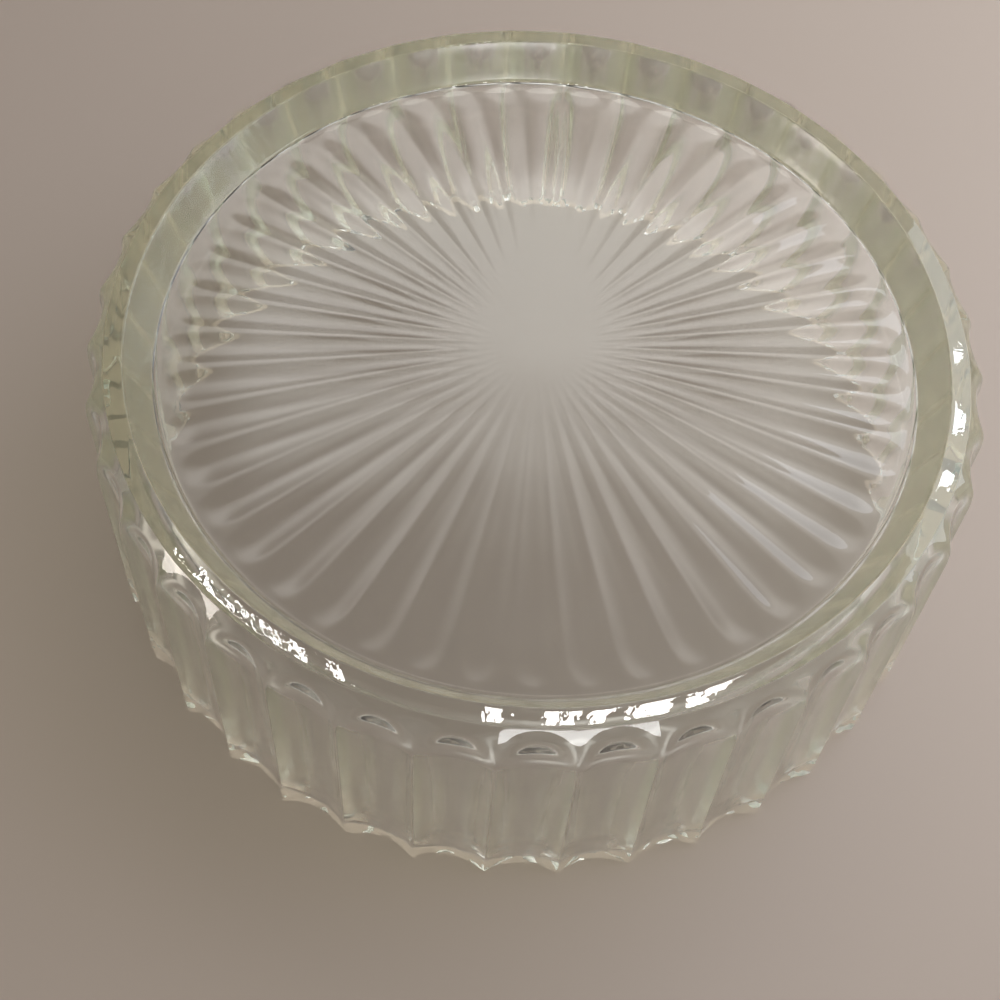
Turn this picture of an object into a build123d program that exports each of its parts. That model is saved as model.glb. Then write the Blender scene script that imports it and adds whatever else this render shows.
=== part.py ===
# Floating candle bowl of clear pressed glass, turned over: it stands on its mouth with its base up.
# Frame: millimetres, +Z up along the bowl's axis, origin at the centre of the mouth's plane.
# The bowl is one piece of glass: a fluted wall, a flat foot ring on top of it, and inside the ring
# a recessed base disc with a sunburst of shallow rays. The hollow of the bowl opens downwards.

import math
import os

from build123d import *

# Outside of the bowl
height = 48.0
ring_diameter = 136.0
shoulder_overhang = 3.4
shoulder_drop = 6.5
shoulder_bulge = 0.7
wall_flare = 3.4

# Flutes in the wall
flute_count = 40
flute_depth = 1.9
ridge_round = 0.45

# Foot ring and the recess inside it
ring_width = 3.1
ring_edge_round = 0.4
recess_depth = 6.0
recess_slope = 3.6
recess_fillet = 1.0

# Base disc and its sunburst
disc_thickness = 4.2
ray_count = 46
ray_depth = 0.45
ray_start_radius = 10.0
ray_margin = 0.3
ray_land = 1.2

# Hollow of the bowl
wall_thickness = 4.8
inner_corner_radius = 3.0
lip_round = 1.4

# Reach of a cutting shape past the surface that it cuts
cut_reach = 2.0
fine_reach = 0.2

# Radii and levels that follow from these
ring_radius = ring_diameter / 2
shoulder_radius = ring_radius + shoulder_overhang
mouth_radius = shoulder_radius + wall_flare
recess_radius = ring_radius - ring_width
recess_floor_radius = recess_radius - recess_slope
disc_top = height - recess_depth
disc_underside = disc_top - disc_thickness
ray_end_radius = recess_floor_radius - recess_fillet - ray_margin


def polar(radius, angle):
    return (radius * math.cos(angle), radius * math.sin(angle))


def ridge_radius_at(level):
    return mouth_radius - wall_flare * level / height


def hollow_radius_at(level):
    return ridge_radius_at(level) - flute_depth - wall_thickness


def turned(face):
    return revolve(Plane.XZ * face, Axis.Z)


def circle_edges(solid, radius, level):
    found = []
    for edge in solid.edges().filter_by(GeomType.CIRCLE):
        centre = edge.arc_center
        on_axis = math.hypot(centre.X, centre.Y) < 0.001
        if on_axis and abs(centre.Z - level) < 0.001 and abs(edge.radius - radius) < 0.001:
            found.append(edge)
    return found


# One closed outline of concave flutes between rounded ridges. The flutes' centre is placed so that
# each flute touches the rounding of the ridges on both sides of it.
def fluted_outline(level):
    half_pitch = math.pi / flute_count
    ridge_radius = ridge_radius_at(level)
    valley_radius = ridge_radius - flute_depth
    ridge_centre = ridge_radius - ridge_round
    valley_inset = valley_radius - ridge_round
    flute_centre = (ridge_centre**2 - valley_inset**2) / (
        2 * (ridge_centre * math.cos(half_pitch) - valley_inset)
    )
    away_x = flute_centre * math.cos(half_pitch) - ridge_centre
    away_y = flute_centre * math.sin(half_pitch)
    away = math.hypot(away_x, away_y)
    touch_x = ridge_centre + ridge_round * away_x / away
    touch_y = ridge_round * away_y / away
    touch_radius = math.hypot(touch_x, touch_y)
    touch_angle = math.atan2(touch_y, touch_x)
    edges = []
    for index in range(flute_count):
        angle = 2 * half_pitch * index
        before = polar(touch_radius, angle - touch_angle)
        crest = polar(ridge_radius, angle)
        after = polar(touch_radius, angle + touch_angle)
        valley = polar(valley_radius, angle + half_pitch)
        following = polar(touch_radius, angle + 2 * half_pitch - touch_angle)
        edges.append(ThreePointArc(before, crest, after))
        edges.append(ThreePointArc(after, valley, following))
    return Pos(0, 0, level) * make_face(edges)


# The fluted wall as a full block, flaring from the foot ring down to the mouth
def fluted_block():
    return loft([fluted_outline(0), fluted_outline(height)], ruled=True)


# What lies outside the rounded shoulder. Where it meets the flutes it gives them arched ends.
def shoulder_cutter():
    top = (ring_radius, height)
    foot_level = height - shoulder_drop
    foot = (ridge_radius_at(foot_level) + fine_reach, foot_level)
    slope = math.atan2(shoulder_drop, foot[0] - top[0])
    middle = (
        (top[0] + foot[0]) / 2 + shoulder_bulge * math.sin(slope),
        (top[1] + foot[1]) / 2 + shoulder_bulge * math.cos(slope),
    )
    outside = mouth_radius + cut_reach
    above = height + cut_reach
    return turned(make_face([
        ThreePointArc(top, middle, foot),
        Polyline(foot, (outside, foot_level), (outside, above), (ring_radius, above), top),
    ]))


# The recess inside the foot ring, with a sloping side, rounded where it meets the disc
def recess_cutter():
    above = height + cut_reach
    corner = (recess_floor_radius, disc_top)
    face = make_face(Polyline(
        (0, above), (recess_radius, above), (recess_radius, height), corner, (0, disc_top), (0, above)
    ))
    return turned(fillet(face.vertices().sort_by_distance(corner)[0], recess_fillet))


# The hollow of the bowl, with a wall as flared as the outside and a rounded inner corner
def hollow_cutter():
    corner = (hollow_radius_at(disc_underside), disc_underside)
    below = -cut_reach
    face = make_face(Polyline(
        (0, below), (hollow_radius_at(below), below), corner, (0, disc_underside), (0, below)
    ))
    return turned(fillet(face.vertices().sort_by_distance(corner)[0], inner_corner_radius))


# One ray of the sunburst: a cone lying on its side, with its tip above the centre of the disc.
# It dips into the disc from the start radius outwards and leaves only a narrow land beside it at
# the end radius. The tilt of its axis follows from these two widths. Its outer end is rounded.
def ray_cutter():
    half_share = math.pi / ray_count - ray_land / (2 * ray_end_radius)
    half_width = ray_end_radius * math.sin(half_share)
    dip = math.atan2(ray_depth, ray_end_radius - ray_start_radius)
    tip_rise = ray_start_radius * math.tan(dip)
    span = math.hypot(ray_end_radius, tip_rise)
    tilt = math.atan2(
        math.cos(dip) - ray_end_radius * math.cos(half_share) / span,
        math.sin(dip) - tip_rise / span,
    )
    length = ray_end_radius + cut_reach
    axis = (math.cos(tilt), 0, math.sin(tilt))
    plane = Plane(origin=(0, 0, disc_top + tip_rise), z_dir=axis)
    cone = Solid.make_cone(0, length * math.tan(tilt + dip), length, plane)
    straight = ray_end_radius - half_width
    outline = Pos(straight / 2, 0) * Rectangle(straight, 2 * half_width) + Pos(straight, 0) * Circle(half_width)
    skin = extrude(outline, ray_depth + 2 * fine_reach)
    return cone & Pos(0, 0, disc_top - ray_depth - fine_reach) * skin


def glass_bowl():
    bowl = fluted_block() - shoulder_cutter() - recess_cutter() - hollow_cutter()
    ring_edges = circle_edges(bowl, recess_radius, height) + circle_edges(bowl, ring_radius, height)
    bowl = fillet(ring_edges, ring_edge_round)
    bowl = fillet(circle_edges(bowl, hollow_radius_at(0), 0), lip_round)
    ray = ray_cutter()
    for index in range(ray_count):
        bowl = bowl - Rot(0, 0, 360 / ray_count * index) * ray
    return bowl


os.makedirs("parts", exist_ok=True)
bowl = glass_bowl()
export_step(bowl, "parts/glass_bowl.step")
print("mouth diameter", round(2 * mouth_radius, 2), "height", height, "volume", round(bowl.volume, 1))
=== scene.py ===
import math

import bpy
from mathutils import Matrix, Vector, noise


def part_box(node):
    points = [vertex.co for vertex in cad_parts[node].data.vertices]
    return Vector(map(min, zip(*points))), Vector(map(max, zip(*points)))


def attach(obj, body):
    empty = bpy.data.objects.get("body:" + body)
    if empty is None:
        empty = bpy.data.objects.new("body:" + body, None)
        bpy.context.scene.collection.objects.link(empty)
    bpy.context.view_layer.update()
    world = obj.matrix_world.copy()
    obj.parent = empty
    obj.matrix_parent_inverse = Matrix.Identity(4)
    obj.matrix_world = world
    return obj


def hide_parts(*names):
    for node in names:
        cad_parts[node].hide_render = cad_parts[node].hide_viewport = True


# Floating candle bowl of clear pressed glass, turned over on its mouth
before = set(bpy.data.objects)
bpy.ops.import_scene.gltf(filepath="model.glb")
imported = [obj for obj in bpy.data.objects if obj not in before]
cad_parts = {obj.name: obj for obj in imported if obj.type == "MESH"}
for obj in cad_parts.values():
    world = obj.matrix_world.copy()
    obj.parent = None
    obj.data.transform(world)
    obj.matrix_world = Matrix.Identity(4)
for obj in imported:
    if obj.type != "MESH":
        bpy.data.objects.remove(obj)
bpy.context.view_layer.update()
scene = bpy.context.scene
cadLow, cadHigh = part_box("glass_bowl")
bowlHeight = cadHigh.z
mouthRadius = (cadHigh.x - cadLow.x) / 2
print("frame loaded: height", round(bowlHeight, 4), "mouth radius", round(mouthRadius, 4))


def clearSelection():
    if bpy.context.mode != "OBJECT":
        bpy.ops.object.mode_set(mode="OBJECT")
    bpy.ops.object.select_all(action="DESELECT")


def editAll(piece):
    clearSelection()
    bpy.context.view_layer.objects.active = piece
    piece.select_set(True)
    bpy.ops.object.mode_set(mode="EDIT")
    bpy.ops.mesh.select_all(action="SELECT")


# A line through corners of (radius, level, rounding, steps in the rounding, rows before the next)
def roundedLine(corners):
    places = [Vector((corner[0], corner[1])) for corner in corners]
    line = []
    for index, (_, _, rounding, steps, rows) in enumerate(corners):
        here = places[index]
        arc = [here]
        if rounding > 0:
            toBack = (places[index - 1] - here).normalized()
            toNext = (places[index + 1] - here).normalized()
            halfAngle = toBack.angle(toNext) / 2
            middle = here + (toBack + toNext).normalized() * rounding / math.sin(halfAngle)
            first = here + toBack * rounding / math.tan(halfAngle) - middle
            last = here + toNext * rounding / math.tan(halfAngle) - middle
            turn = first.angle_signed(last)
            arc = [middle + Matrix.Rotation(-turn * step / steps, 2) @ first for step in range(steps + 1)]
        if line:
            start = line[-1]
            gap = arc[0] - start
            line += [start + gap * row / (rowsBefore + 1) for row in range(1, rowsBefore + 1)]
        line += arc
        rowsBefore = rows
    return line


# Extrudes one vertex along the line and turns it about the bowl's axis
def lathe(name, line, steps, weld):
    clearSelection()
    bpy.ops.mesh.primitive_plane_add()
    piece = bpy.context.object
    piece.name = name
    editAll(piece)
    bpy.ops.mesh.merge(type="CENTER")
    bpy.ops.transform.translate(value=(line[0].x, 0, line[0].y))
    for here, there in zip(line, line[1:]):
        step = there - here
        bpy.ops.mesh.extrude_region_move(TRANSFORM_OT_translate={"value": (step.x, 0, step.y)})
    bpy.ops.object.mode_set(mode="OBJECT")
    turn = piece.modifiers.new("turn", "SCREW")
    turn.axis = "Z"
    turn.steps = steps
    turn.render_steps = steps
    turn.use_merge_vertices = True
    turn.merge_threshold = weld
    bpy.ops.object.modifier_apply(modifier="turn")
    editAll(piece)
    bpy.ops.mesh.remove_doubles(threshold=weld)
    bpy.ops.mesh.normals_make_consistent(inside=False)
    bpy.ops.object.mode_set(mode="OBJECT")
    print(name, "turned with", len(line), "rows of", steps)
    return piece


# Sizes of the bowl in metres. They are the solid's own, apart from the fall of the ring's top,
# the lip's rounding, the softer flutes' ends, the dents and the depth and run-out of the rays.
glass = {
    "ringRadius": 0.068,
    "ringWidth": 0.0031,
    "ringEdge": 0.0004,
    "ringFall": 0.00019,        # how far the ring's top falls from its inner to its outer edge
    "shoulderCorner": (0.0713, 0.0455),
    "shoulderRound": 0.0098,
    "shoulderFoot": (0.0724, 0.0405),
    "footRound": 0.0060,
    "recessDepth": 0.0060,
    "recessSlope": 0.0036,      # how far the ring's inner side leans in at its foot
    "recessFillet": 0.0010,
    "discThickness": 0.0042,
    "wallFlare": 0.0034,
    "wallThickness": 0.0048,
    "innerCorner": 0.0030,
    "lipRound": 0.0008,
    "fluteCount": 40,
    "fluteDepth": 0.0019,
    "ridgeRound": 0.00045,
    "gather": 0.65,             # how much the mesh closes up at the ridges
    "archBlend": 0.0020,        # softness of the arched ends under the shoulder
    "mouthRound": 0.0008,
    "dentScale": 430.0,         # uneven dents along the mouth
    "dentDepth": 0.0009,
    "dentReach": 0.0045,        # height above the floor at which the dents have faded out
    "rayCount": 46,
    "rayDepth": 0.00025,
    "rayStart": 0.010,
    "rayMargin": 0.0003,
    "rayRib": 0.12,             # share of the pitch between two rays at their outer ends
    "raySoftness": 1.4,         # 1 leaves sharp edges beside a ray, more rounds them
    "rayArch": 0.0034,          # how far the rounded outer end bends back beside its middle
    "rayEndRun": 0.0045,        # length over which a ray runs out at its outer end
    "rayGrowth": 0.65,          # below 1 a ray deepens sooner near the centre
    "support": 0.0003,          # a row this far inside each flat face keeps it flat
    "steps": 920,               # steps round the axis: whole numbers for each flute and each ray
    "weld": 0.000005,           # vertices this near become one
    "slack": 0.00001,           # how exactly a vertex is found on a face
}
ringInner = glass["ringRadius"] - glass["ringWidth"]
discTop = bowlHeight - glass["recessDepth"]
discRadius = ringInner - glass["recessSlope"]
ceiling = discTop - glass["discThickness"]
rayEnd = discRadius - glass["recessFillet"] - glass["rayMargin"]


def ridgeRadiusAt(level):
    return mouthRadius - glass["wallFlare"] * level / bowlHeight


# Radius of the fluted wall at an angle from the nearest ridge: the ridge's rounding or the flute's arc
def fluteRadiusAt(angle, level):
    halfPitch = math.pi / glass["fluteCount"]
    ridge = ridgeRadiusAt(level)
    valley = ridge - glass["fluteDepth"]
    ridgeCentre = ridge - glass["ridgeRound"]
    inset = valley - glass["ridgeRound"]
    away = (ridgeCentre**2 - inset**2) / (2 * (ridgeCentre * math.cos(halfPitch) - inset))
    fluteArc = away - valley
    off = away * math.sin(halfPitch - abs(angle))
    flute = away * math.cos(halfPitch - abs(angle)) - math.sqrt(fluteArc**2 - off**2)
    side = ridgeCentre * math.sin(angle)
    if abs(side) < glass["ridgeRound"]:
        crest = ridgeCentre * math.cos(angle) + math.sqrt(glass["ridgeRound"]**2 - side**2)
        return min(flute, crest)
    return flute


def softLower(a, b, blend):
    share = max(0.0, min(1.0, 0.5 + 0.5 * (b - a) / blend))
    return b + (a - b) * share - blend * share * (1 - share)


# The whole section: sunburst disc, recess, foot ring, shoulder, wall, mouth, hollow and the
# disc's underside. Each corner has its rounding, the steps in it and the rows before the next corner.
def sectionLine():
    edge = glass["ringEdge"]
    support = glass["support"]
    outerTop = bowlHeight - glass["ringFall"]
    fallPerMetre = glass["ringFall"] / glass["ringWidth"]
    mouthRound = glass["mouthRound"]
    inset = glass["fluteDepth"] + glass["wallThickness"]
    lip = ridgeRadiusAt(0) - inset
    shoulderFoot, footLevel = glass["shoulderFoot"]
    return roundedLine([
        (0, discTop, 0, 0, 1),
        (glass["rayStart"], discTop, 0, 0, 9),
        (rayEnd - glass["rayArch"] - glass["rayEndRun"], discTop, 0, 0, 10),
        (rayEnd, discTop, 0, 0, 0),
        (discRadius, discTop, glass["recessFillet"], 5, 3),
        (ringInner, bowlHeight, edge, 4, 0),
        (ringInner + edge + support, bowlHeight - (edge + support) * fallPerMetre, 0, 0, 0),
        (glass["ringRadius"] - edge - support, outerTop + (edge + support) * fallPerMetre, 0, 0, 0),
        (glass["ringRadius"], outerTop, edge, 4, 0),
        (*glass["shoulderCorner"], glass["shoulderRound"], 13, 0),
        (shoulderFoot + glass["archBlend"], footLevel, glass["footRound"], 2, 8),
        (mouthRadius + glass["archBlend"], mouthRound + support, 0, 0, 0),
        (mouthRadius, mouthRound, 0, 0, 0),
        (mouthRadius, 0, mouthRound, 4, 0),
        (mouthRadius - mouthRound - support, 0, 0, 0, 0),
        (lip + glass["lipRound"] + support, 0, 0, 0, 0),
        (lip, 0, glass["lipRound"], 5, 3),
        (ridgeRadiusAt(ceiling) - inset, ceiling, glass["innerCorner"], 9, 1),
        (0, ceiling, 0, 0, 0),
    ])


# Flutes: each vertex of the wall moves in to the flute, or stays on the shoulder above its arched end
def pressFlutes(bowl):
    pitch = 2 * math.pi / glass["fluteCount"]
    mouthFlat = mouthRadius - glass["mouthRound"] - glass["support"]
    slack = glass["slack"]
    for vertex in bowl.data.vertices:
        x, y, z = vertex.co
        radius = math.hypot(x, y)
        onMouth = z < glass["mouthRound"] + slack and mouthFlat - slack < radius < mouthRadius + slack
        onWall = radius > glass["ringRadius"] - glass["ringEdge"] and z > glass["mouthRound"] + slack
        if not onMouth and not onWall:
            continue
        angle = math.atan2(y, x)
        nearest = round(angle / pitch)
        share = (angle / pitch - nearest) * 2
        share -= glass["gather"] * math.sin(math.pi * share) / math.pi
        off = share * pitch / 2
        fluted = fluteRadiusAt(off, z)
        if onMouth:
            radius = fluted - (mouthRadius - radius)
        else:
            radius = softLower(radius, fluted, glass["archBlend"])
        turned = nearest * pitch + off
        vertex.co = (radius * math.cos(turned), radius * math.sin(turned), z)
    print("flutes pressed into the wall:", glass["fluteCount"])


# Dents: uneven lumps along the mouth, which fade out up the wall and never reach outside the solid
def pressDents(bowl):
    for vertex in bowl.data.vertices:
        fade = 1 - vertex.co.z / glass["dentReach"]
        radius = math.hypot(vertex.co.x, vertex.co.y)
        if fade <= 0 or radius < glass["ringRadius"] / 2:
            continue
        dent = max(0.0, noise.noise(vertex.co * glass["dentScale"])) * glass["dentDepth"] * fade
        inward = 1 - dent / radius
        onOutside = radius > mouthRadius - glass["fluteDepth"] - glass["wallThickness"] / 2
        rise = dent / 2 if vertex.co.z < glass["mouthRound"] else 0.0
        if onOutside:
            vertex.co.x *= inward
            vertex.co.y *= inward
        vertex.co.z += rise
    print("dents pressed into the lip")


# Rays: shallow petals that widen and deepen outwards and run out in an arch before the recess's fillet
def pressRays(bowl):
    pitch = 2 * math.pi / glass["rayCount"]
    for vertex in bowl.data.vertices:
        x, y, z = vertex.co
        radius = math.hypot(x, y)
        if abs(z - discTop) > glass["slack"] or not glass["rayStart"] < radius < rayEnd:
            continue
        angle = math.atan2(y, x) / pitch
        along = (radius - glass["rayStart"]) / (rayEnd - glass["rayStart"])
        across = (angle - round(angle)) * 2 / (1 - glass["rayRib"] * along)
        if abs(across) >= 1:
            continue
        archEnd = rayEnd - glass["rayArch"] * (1 - math.sqrt(1 - across**2))
        runOut = max(0.0, min(1.0, (archEnd - radius) / glass["rayEndRun"]))
        hollow = (1 - across**2)**glass["raySoftness"]
        deep = glass["rayDepth"] * along**glass["rayGrowth"]
        vertex.co.z = discTop - deep * hollow * runOut * (2 - runOut)
    print("rays pressed into the base:", glass["rayCount"])


def makeBowl():
    bowl = lathe("glassBowl", sectionLine(), glass["steps"], glass["weld"])
    pressFlutes(bowl)
    pressRays(bowl)
    pressDents(bowl)
    clearSelection()
    bowl.select_set(True)
    bpy.context.view_layer.objects.active = bowl
    bpy.ops.object.shade_smooth()
    triangles = sum(len(face.vertices) - 2 for face in bowl.data.polygons)
    print("bowl shaped:", triangles, "triangles")
    return bowl


glassLook = {
    "ior": 1.52,
    "tint": (0.78, 0.83, 0.705),    # what the glass lets through over a long way
    "tintPerMetre": 22.0,
    "shadow": (0.96, 0.95, 0.92),   # what each surface lets through in the bowl's shadow
    # each bump: scale along x, y and z, detail and height
    "waves": ((55.0, 55.0, 55.0), 1.0, 0.00012),      # slow waves left by the mould
    "streaks": ((420.0, 420.0, 25.0), 2.0, 0.00011),  # fine upright chill marks
    "lip": ((380.0, 380.0, 380.0), 1.0, 0.0003),      # lumps along the mouth's lip
    "lipReach": 0.003,              # height to which the lumps fade out
    "polishedRoughness": 0.01,
    "bluntRoughness": 0.5,
    "wallBlunt": 0.10,              # share of the way from polished to blunt
    "hollowBlunt": 0.45,
    "hollowStreaks": 0.5,           # share of the wall's streaks
    "recessBlunt": 0.40,
    "cornerBlunt": 0.52,
    "ringStreaks": 0.12,
}
finishes = ("streaked", "blunt", "lumpy")


# Marks how streaked, blunt and lumpy the glass is: the ring's top and the disc are polished,
# the side of the recess and the hollow are blunt, and the lip is lumpy
def markFinish(bowl):
    marks = {name: bowl.data.attributes.new(name, "FLOAT", "POINT") for name in finishes}
    insideDisc = discRadius - glass["recessFillet"]
    ringInside = ringInner - glass["ringEdge"] / 4
    hollowDepth = glass["fluteDepth"] + glass["wallThickness"] / 2
    for vertex in bowl.data.vertices:
        radius = math.hypot(vertex.co.x, vertex.co.y)
        level = vertex.co.z
        streaked, blunt = 0.0, 0.0
        if radius > insideDisc - glass["recessFillet"] and level < ceiling - glass["support"]:
            streaked, blunt = 1.0, glassLook["wallBlunt"]
            if radius < ridgeRadiusAt(level) - hollowDepth:
                share = (level / ceiling)**2
                streaked = glassLook["hollowStreaks"]
                blunt = glassLook["hollowBlunt"] * (1 - share) + glassLook["cornerBlunt"] * share
        elif radius > ringInside:
            onTop = level > bowlHeight - glass["recessDepth"] / 2
            streaked, blunt = (glassLook["ringStreaks"], 0.0) if onTop else (1.0, glassLook["wallBlunt"])
        elif radius > insideDisc and level > discTop + glass["recessFillet"] / 4:
            streaked, blunt = 1.0, glassLook["recessBlunt"]
        marks["streaked"].data[vertex.index].value = streaked
        marks["blunt"].data[vertex.index].value = blunt
        marks["lumpy"].data[vertex.index].value = max(0.0, 1 - level / glassLook["lipReach"])


def noiseBump(tree, place, scale, detail, height, strength, normal):
    nodes, links = tree.nodes, tree.links
    stretch = nodes.new("ShaderNodeMapping")
    stretch.inputs["Scale"].default_value = scale
    links.new(place, stretch.inputs["Vector"])
    cloud = nodes.new("ShaderNodeTexNoise")
    cloud.inputs["Scale"].default_value = 1.0
    cloud.inputs["Detail"].default_value = detail
    links.new(stretch.outputs["Vector"], cloud.inputs["Vector"])
    bump = nodes.new("ShaderNodeBump")
    bump.inputs["Distance"].default_value = height
    links.new(cloud.outputs["Fac"], bump.inputs["Height"])
    if strength:
        links.new(strength, bump.inputs["Strength"])
    else:
        bump.inputs["Strength"].default_value = 1.0
    if normal:
        links.new(normal, bump.inputs["Normal"])
    return bump.outputs["Normal"]


def clearGlass():
    material = bpy.data.materials.new("clearGlass")
    material.use_nodes = True
    tree = material.node_tree
    nodes, links = tree.nodes, tree.links
    shader = nodes["Principled BSDF"]
    shader.inputs["Base Color"].default_value = (1, 1, 1, 1)
    shader.inputs["Transmission Weight"].default_value = 1.0
    shader.inputs["IOR"].default_value = glassLook["ior"]
    place = nodes.new("ShaderNodeTexCoord").outputs["Object"]
    marks = {}
    for name in finishes:
        mark = nodes.new("ShaderNodeAttribute")
        mark.attribute_name = name
        marks[name] = mark.outputs["Fac"]
    waves = noiseBump(tree, place, *glassLook["waves"], None, None)
    streaks = noiseBump(tree, place, *glassLook["streaks"], marks["streaked"], waves)
    lip = noiseBump(tree, place, *glassLook["lip"], marks["lumpy"], streaks)
    links.new(lip, shader.inputs["Normal"])
    finish = nodes.new("ShaderNodeMapRange")
    finish.inputs["To Min"].default_value = glassLook["polishedRoughness"]
    finish.inputs["To Max"].default_value = glassLook["bluntRoughness"]
    links.new(marks["blunt"], finish.inputs["Value"])
    links.new(finish.outputs["Result"], shader.inputs["Roughness"])
    lightPath = nodes.new("ShaderNodeLightPath")   # shadow rays go straight through
    through = nodes.new("ShaderNodeBsdfTransparent")
    through.inputs["Color"].default_value = (*glassLook["shadow"], 1)
    surface = nodes.new("ShaderNodeMixShader")
    links.new(lightPath.outputs["Is Shadow Ray"], surface.inputs["Fac"])
    links.new(shader.outputs["BSDF"], surface.inputs[1])
    links.new(through.outputs["BSDF"], surface.inputs[2])
    links.new(surface.outputs["Shader"], nodes["Material Output"].inputs["Surface"])
    tint = nodes.new("ShaderNodeVolumeAbsorption")
    tint.inputs["Color"].default_value = (*glassLook["tint"], 1)
    tint.inputs["Density"].default_value = glassLook["tintPerMetre"]
    links.new(tint.outputs["Volume"], nodes["Material Output"].inputs["Volume"])
    return material


bowl = makeBowl()
markFinish(bowl)
bowl.data.materials.append(clearGlass())
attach(bowl, "root")
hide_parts("glass_bowl")
print("glass bowl in place")

floorLook = {
    "size": 6.0,
    "level": 0.0001,            # the mouth rests in it, and only its dents stay clear
    "colour": (0.53, 0.43, 0.355),
    "roughness": 0.55,
}


def makeFloor():
    clearSelection()
    bpy.ops.mesh.primitive_plane_add(size=floorLook["size"], location=(0, 0, floorLook["level"]))
    floor = bpy.context.object
    floor.name = "paleFloor"
    material = bpy.data.materials.new("paleFloor")
    material.use_nodes = True
    shader = material.node_tree.nodes["Principled BSDF"]
    shader.inputs["Base Color"].default_value = (*floorLook["colour"], 1)
    shader.inputs["Roughness"].default_value = floorLook["roughness"]
    floor.data.materials.append(material)
    print("floor laid")


makeFloor()

studio = {
    "skyColour": (1.0, 0.95, 0.89),
    "skyMiddle": 0.12,                # brightness overhead
    "skyRise": 0.70,                  # how much brighter it gets towards the right
    "skyRange": (0.05, 0.9),
    "glow": (1.0, 0.99, 0.96),        # a high bright band of the sky behind the bowl
    "glowStrength": 2.4,
    "glowFoot": (41.0, 46.0),         # degrees above the floor between which it starts
    "glowHead": (64.0, 51.0),         # and between which it ends
    "glowFront": (0.28, 0.52),        # share of the direction to the back between which it starts
    "glowSides": (0.33, 0.23),        # share of the direction to each side between which it ends
}

# The main light, which the glass doesn't show: degrees from +Y towards +X, degrees above the floor,
# distance, size, brightness and colour
softboxes = {
    "topSoftbox": (60.0, 39.0, 0.60, (0.60, 0.52), 3.05, (0.94, 1.0, 1.10)),
}

# Windows that only show as reflections on the glass, given in the same way
cards = {
    "sideCard": (64.0, 33.0, 0.60, (0.60, 0.52), 2.4, (0.92, 1.0, 1.13)),
    "leftCard": (-108.0, 26.0, 1.6, (0.44, 0.44), 11.0, (1.0, 0.93, 0.85)),
    "frontCard": (162.0, 35.5, 1.6, (0.70, 0.36), 11.0, (1.0, 1.0, 1.0)),
    "rightPaneFar": (34.4, 44.0, 3.0, (0.030, 0.050), 14.0, (0.94, 1.0, 1.06)),
    "rightPaneMiddle": (37.6, 47.6, 3.0, (0.060, 0.075), 20.0, (0.94, 1.0, 1.06)),
    "rightPaneNear": (40.4, 50.9, 3.0, (0.050, 0.060), 20.0, (0.94, 1.0, 1.06)),
}

# A bent row of overhead panes that the front of the ring mirrors: lean to the right and width of each
panes = {
    "distance": 3.0,
    "height": 0.16,
    "brightness": 32.0,
    "colour": (1.0, 1.0, 1.0),
    "back": 0.247,                    # lean to the back of the row's middle
    "bend": 1.0,                      # how much further its ends lean back
    "row": (
        (-0.330, 0.010), (-0.298, 0.020), (-0.268, 0.009), (-0.242, 0.009),
        (-0.218, 0.016), (-0.175, 0.018), (-0.005, 0.070), (0.054, 0.050),
        (0.077, 0.050), (0.110, 0.036), (0.147, 0.044), (0.168, 0.044),
        (0.216, 0.040),
    ),
}


def addSoftbox(name, place, target, size, brightness, colour):
    light = bpy.data.lights.new(name, "AREA")
    light.shape = "RECTANGLE"
    light.size, light.size_y = size
    light.energy = brightness * math.pi * size[0] * size[1]
    light.color = colour
    lamp = bpy.data.objects.new(name, light)
    scene.collection.objects.link(lamp)
    lamp.location = place
    lamp.rotation_euler = (target - place).to_track_quat("-Z", "Y").to_euler()
    return lamp


def heading(degrees, rise):
    turn, up = math.radians(degrees), math.radians(rise)
    return Vector((math.sin(turn) * math.cos(up), math.cos(turn) * math.cos(up), math.sin(up)))


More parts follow.
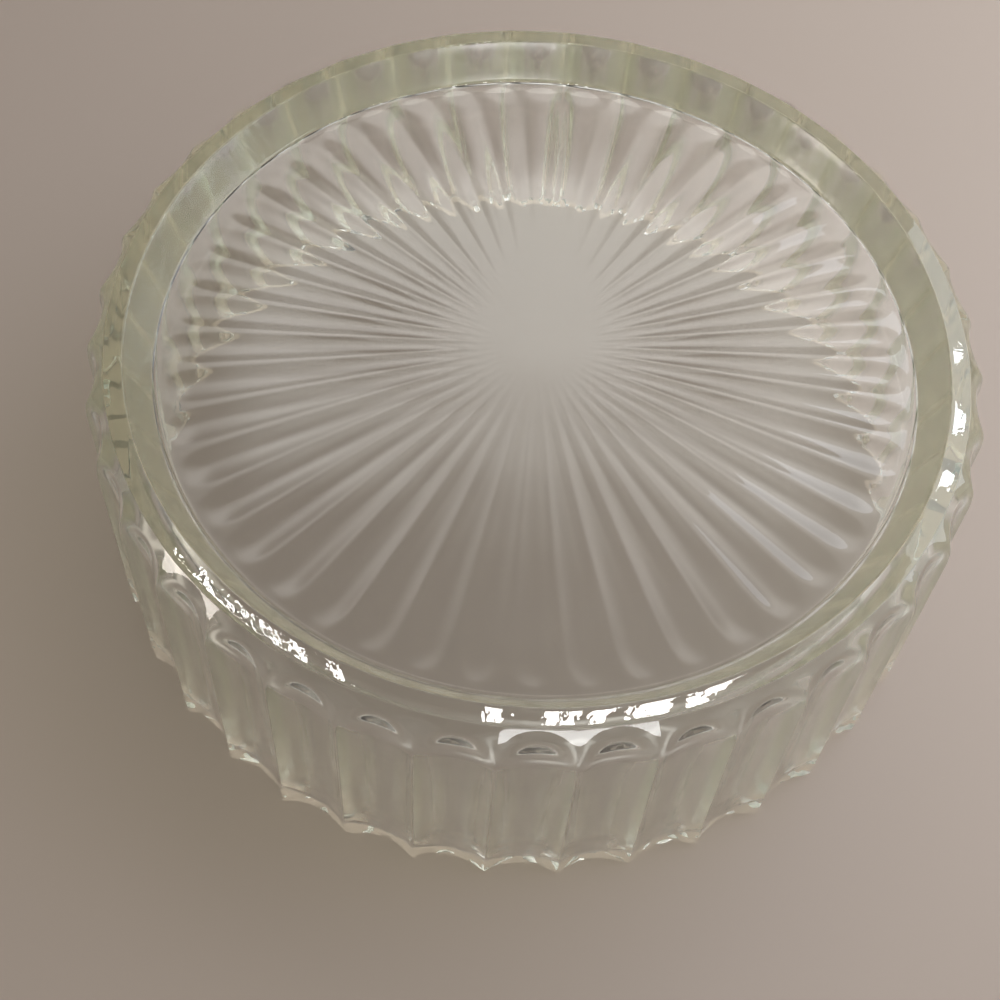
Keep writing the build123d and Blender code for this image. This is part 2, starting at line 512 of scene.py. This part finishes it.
# A sky that brightens to the right, with a high bright band behind the bowl
def makeSky():
    world = bpy.data.worlds.new("studioSky")
    scene.world = world
    world.use_nodes = True
    nodes, links = world.node_tree.nodes, world.node_tree.links

    def mapped(value, start, end, low, high, kind):
        step = nodes.new("ShaderNodeMapRange")
        step.interpolation_type = kind
        for name, number in (("From Min", start), ("From Max", end), ("To Min", low), ("To Max", high)):
            step.inputs[name].default_value = number
        links.new(value, step.inputs["Value"])
        return step.outputs["Result"]

    def combined(operation, first, second):
        step = nodes.new("ShaderNodeMath")
        step.operation = operation
        links.new(first, step.inputs[0])
        links.new(second, step.inputs[1])
        return step.outputs["Value"]

    def coloured(colour, strength):
        step = nodes.new("ShaderNodeVectorMath")
        step.operation = "SCALE"
        step.inputs[0].default_value = colour
        links.new(strength, step.inputs["Scale"])
        return step.outputs["Vector"]

    place = nodes.new("ShaderNodeTexCoord")
    axes = nodes.new("ShaderNodeSeparateXYZ")
    links.new(place.outputs["Generated"], axes.inputs["Vector"])
    low, high = studio["skyRange"]
    fromSide, toSide = [(end - studio["skyMiddle"]) / studio["skyRise"] for end in (low, high)]
    sky = mapped(axes.outputs["X"], fromSide, toSide, low, high, "LINEAR")
    foot = [math.sin(math.radians(end)) for end in studio["glowFoot"]]
    head = [math.sin(math.radians(end)) for end in studio["glowHead"]]
    overFoot = mapped(axes.outputs["Z"], *foot, 0.0, studio["glowStrength"], "SMOOTHSTEP")
    underHead = mapped(axes.outputs["Z"], *head, 0.0, 1.0, "SMOOTHSTEP")
    behind = mapped(axes.outputs["Y"], *studio["glowFront"], 0.0, 1.0, "SMOOTHSTEP")
    sides = [-end for end in studio["glowSides"]]
    rightOfLeft = mapped(axes.outputs["X"], *sides, 0.0, 1.0, "SMOOTHSTEP")
    leftOfRight = mapped(axes.outputs["X"], *studio["glowSides"], 0.0, 1.0, "SMOOTHSTEP")
    glow = overFoot
    for limit in (underHead, behind, rightOfLeft, leftOfRight):
        glow = combined("MULTIPLY", glow, limit)
    both = nodes.new("ShaderNodeVectorMath")
    both.operation = "ADD"
    links.new(coloured(studio["skyColour"], sky), both.inputs[0])
    links.new(coloured(studio["glow"], glow), both.inputs[1])
    links.new(both.outputs["Vector"], nodes["Background"].inputs["Color"])


def lightStudio():
    makeSky()
    middle = Vector((0, 0, bowlHeight / 2))
    for name, (turn, rise, distance, size, brightness, colour) in softboxes.items():
        place = middle + heading(turn, rise) * distance
        lamp = addSoftbox(name, place, middle, size, brightness, colour)
        lamp.visible_glossy = False
        lamp.visible_transmission = False
        lamp.data.cycles.use_multiple_importance_sampling = False
    mirrored = []
    for name, (turn, rise, distance, size, brightness, colour) in cards.items():
        place = middle + heading(turn, rise) * distance
        mirrored.append(addSoftbox(name, place, middle, size, brightness, colour))
    ringFront = Vector((0, -glass["ringRadius"], bowlHeight))
    for index, (right, wide) in enumerate(panes["row"]):
        back = panes["back"] + panes["bend"] * right**2
        lean = Vector((right, back, math.sqrt(1 - right**2 - back**2)))
        place = ringFront + lean * panes["distance"]
        size = (wide, panes["height"])
        name = "pane%d" % (index + 1)
        mirrored.append(addSoftbox(name, place, ringFront, size, panes["brightness"], panes["colour"]))
    for lamp in mirrored:
        lamp.visible_diffuse = False
        lamp.visible_transmission = False
    print("studio lit")


lightStudio()

shot = {
    "place": (0, -0.1297, 0.1625),    # from the centre of the foot ring's top
    "pitch": 59.36,
    "yaw": -1.89,
    "roll": 4.18,
    "lens": 46.8,
    "sensor": 36.0,
    "clipStart": 0.005,
    "bounces": 32,                    # enough to get through the glass and back
}


def makeCamera():
    data = bpy.data.cameras.new("photoCamera")
    data.lens = shot["lens"]
    data.sensor_width = shot["sensor"]
    data.clip_start = shot["clipStart"]
    camera = bpy.data.objects.new("photoCamera", data)
    scene.collection.objects.link(camera)
    turn = Matrix.Rotation(math.radians(-shot["yaw"]), 4, "Z")
    tilt = Matrix.Rotation(math.radians(90 - shot["pitch"]), 4, "X")
    roll = Matrix.Rotation(math.radians(shot["roll"]), 4, "Z")
    place = Vector(shot["place"]) + Vector((0, 0, bowlHeight))
    camera.matrix_world = Matrix.Translation(place) @ turn @ tilt @ roll
    scene.camera = camera
    print("camera set")


makeCamera()
scene.view_settings.view_transform = "Standard"
scene.cycles.max_bounces = shot["bounces"]
scene.cycles.transmission_bounces = shot["bounces"]
scene.cycles.glossy_bounces = shot["bounces"]
scene.cycles.caustics_refractive = False
scene.cycles.use_denoising = True
